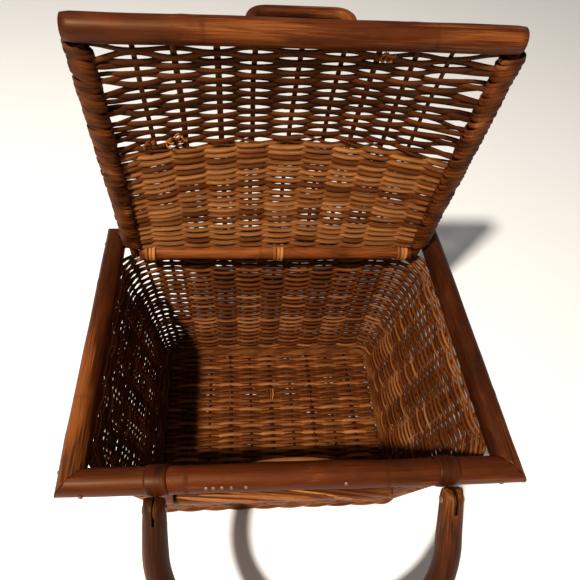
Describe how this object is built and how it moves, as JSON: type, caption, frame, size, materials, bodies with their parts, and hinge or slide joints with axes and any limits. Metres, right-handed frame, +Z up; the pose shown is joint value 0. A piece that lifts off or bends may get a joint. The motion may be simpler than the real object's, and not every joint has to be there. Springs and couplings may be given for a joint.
{
  "type": "wicker picnic basket",
  "caption": "Rectangular woven cane basket with tapering walls on a pole rim, a domed hinged lid with a small bent lift handle, and a swinging bow handle at the front and the rear.",
  "frame": {"origin": "middle of the flat underside of the woven base, on the floor", "axes": "+X to the right seen from the front, +Y from the front to the hinge side, +Z up"},
  "size_m": [0.4, 0.478, 0.4878],
  "materials": {
    "pole_cane": "varnished round cane poles, red-brown, satin",
    "woven_cane": "thin woven cane strands, brown, dull satin",
    "split_cane": "flat split cane, lighter brown, satin",
    "nail_steel": "dull dark nail steel"
  },
  "bodies": {
    "basket": {"rim_front": "pole_cane", "rim_rear": "pole_cane", "rim_right": "pole_cane", "rim_left": "pole_cane", "wall_front": "woven_cane", "wall_rear": "woven_cane", "wall_right": "woven_cane", "wall_left": "woven_cane", "wall_corner_rear_right": "woven_cane", "wall_corner_rear_left": "woven_cane", "wall_corner_front_left": "woven_cane", "wall_corner_front_right": "woven_cane", "base_stick_1": "pole_cane", "base_stick_2": "pole_cane", "base_stick_3": "pole_cane", "base_stick_4": "pole_cane", "base_stick_5": "pole_cane", "base_mat": "woven_cane", "foot_roll_front": "woven_cane", "foot_roll_rear": "woven_cane", "foot_roll_right": "woven_cane", "foot_roll_left": "woven_cane", "front_binding": "split_cane", "closing_peg": "pole_cane", "inner_lath": "split_cane", "front_band_left": "split_cane", "front_pin_left": "nail_steel", "front_band_right": "split_cane", "front_pin_right": "nail_steel", "rear_band_left": "split_cane", "rear_pin_left": "nail_steel", "rear_band_right": "split_cane", "rear_pin_right": "nail_steel", "hinge_lashing_left": "split_cane", "hinge_lashing_middle": "split_cane", "hinge_lashing_right": "split_cane"},
    "lid": {"lid_hinge_pole": "pole_cane", "lid_front_pole": "pole_cane", "lid_edge_stick_left": "pole_cane", "lid_edge_stick_right": "pole_cane", "lid_edge_wrap_left": "woven_cane", "lid_edge_wrap_right": "woven_cane", "lid_panel": "woven_cane", "lift_handle": "pole_cane"},
    "front_handle": {"front_handle": "pole_cane"},
    "rear_handle": {"rear_handle": "pole_cane"}
  },
  "joints": [
    {"name": "lid_hinge", "type": "hinge", "parent": "basket", "child": "lid", "pos_m": [0, 0.1175, 0.222], "axis": [1, 0, 0], "range_deg": [-5.5, 80.6]},
    {"name": "front_handle_swing", "type": "hinge", "parent": "basket", "child": "front_handle", "pos_m": [0.0066, -0.1625, 0.222], "axis": [-1, 0, 0], "range_deg": [-43, 135]},
    {"name": "rear_handle_swing", "type": "hinge", "parent": "basket", "child": "rear_handle", "pos_m": [0.0066, 0.1625, 0.222], "axis": [1, 0, 0], "range_deg": [-8, 170]}
  ]
}
